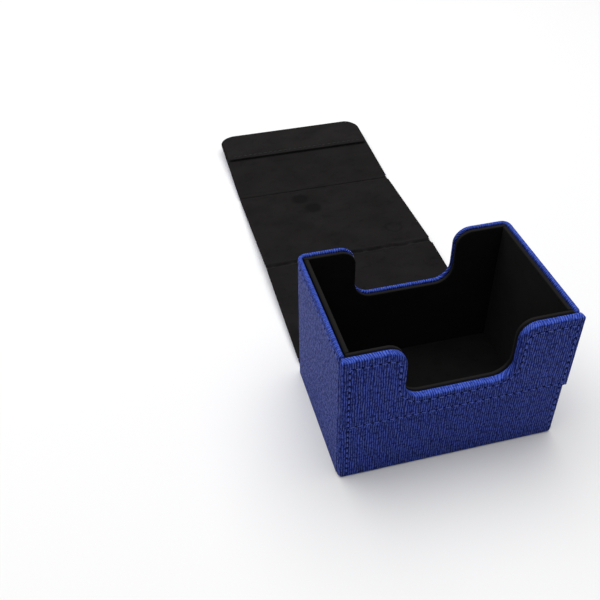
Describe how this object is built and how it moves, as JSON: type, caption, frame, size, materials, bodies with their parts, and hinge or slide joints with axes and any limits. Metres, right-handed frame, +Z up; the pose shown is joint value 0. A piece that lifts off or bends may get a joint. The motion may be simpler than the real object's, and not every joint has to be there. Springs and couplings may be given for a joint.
{
  "type": "card deck box",
  "caption": "Open-topped leather-covered box for a deck of sleeved cards, with thumb notches front and back and a hinged cover that folds over it and is held by magnets.",
  "frame": {"origin": "centre of the box's underside, where it rests on the table", "axes": "+Z up, +Y from the box towards the opened cover, +X to the right seen from the front"},
  "size_m": [0.1042, 0.3051, 0.073],
  "materials": {
    "leather": "embossed with fine irregular streaks, satin",
    "suede": "napped microfibre, matt",
    "board": "grey board, matt",
    "card": "black card, matt",
    "thread": "twisted polyester",
    "magnet": "nickel plated"
  },
  "bodies": {
    "box": {"base_leather": "leather", "base_board": "board", "bottom_board": "board", "body_leather": "leather", "left_wall_board": "board", "right_wall_board": "board", "back_wall_board": "board", "left_wall_thread": "thread", "right_wall_thread": "thread", "back_wall_thread": "thread", "overlay_leather": "leather", "overlay_board": "board", "overlay_thread": "thread", "front_wall_leather": "leather", "front_wall_board": "board", "box_magnet_left": "magnet", "box_magnet_right": "magnet", "lining_front_card": "card", "lining_front_suede": "suede", "lining_back_card": "card", "lining_back_suede": "suede", "lining_left_card": "card", "lining_left_suede": "suede", "lining_right_card": "card", "lining_right_suede": "suede", "lining_floor_card": "card", "lining_floor_suede": "suede", "base_fold_leather": "leather", "base_fold_suede": "suede"},
    "back_panel": {"back_panel_leather": "leather", "back_panel_board": "board", "back_panel_suede": "suede", "back_panel_thread_left": "thread", "back_panel_thread_right": "thread", "rear_fold_leather": "leather", "rear_fold_suede": "suede"},
    "top_panel": {"top_panel_leather": "leather", "top_panel_board": "board", "top_panel_suede": "suede", "top_panel_thread_left": "thread", "top_panel_thread_right": "thread", "front_fold_leather": "leather", "front_fold_suede": "suede"},
    "front_flap": {"flap_leather": "leather", "flap_thread": "thread", "flap_board": "board", "pad_core": "card", "flap_magnet_left": "magnet", "flap_magnet_right": "magnet", "flap_suede": "suede"}
  },
  "joints": [
    {"name": "cover_base_fold", "type": "hinge", "parent": "box", "child": "back_panel", "pos_m": [0, 0.0394, 0], "axis": [1, 0, 0], "range_deg": [0, 87.6], "deforming": ["base_fold_leather", "base_fold_suede"]},
    {"name": "cover_rear_fold", "type": "hinge", "parent": "back_panel", "child": "top_panel", "pos_m": [0, 0.11523, 0.00318], "axis": [1, 0, 0], "range_deg": [0, 94.71], "deforming": ["rear_fold_leather", "rear_fold_suede"]},
    {"name": "cover_front_fold", "type": "hinge", "parent": "top_panel", "child": "front_flap", "pos_m": [0, 0.19397, 0], "axis": [1, 0, 0], "range_deg": [0, 84.08], "deforming": ["front_fold_leather", "front_fold_suede"]}
  ]
}
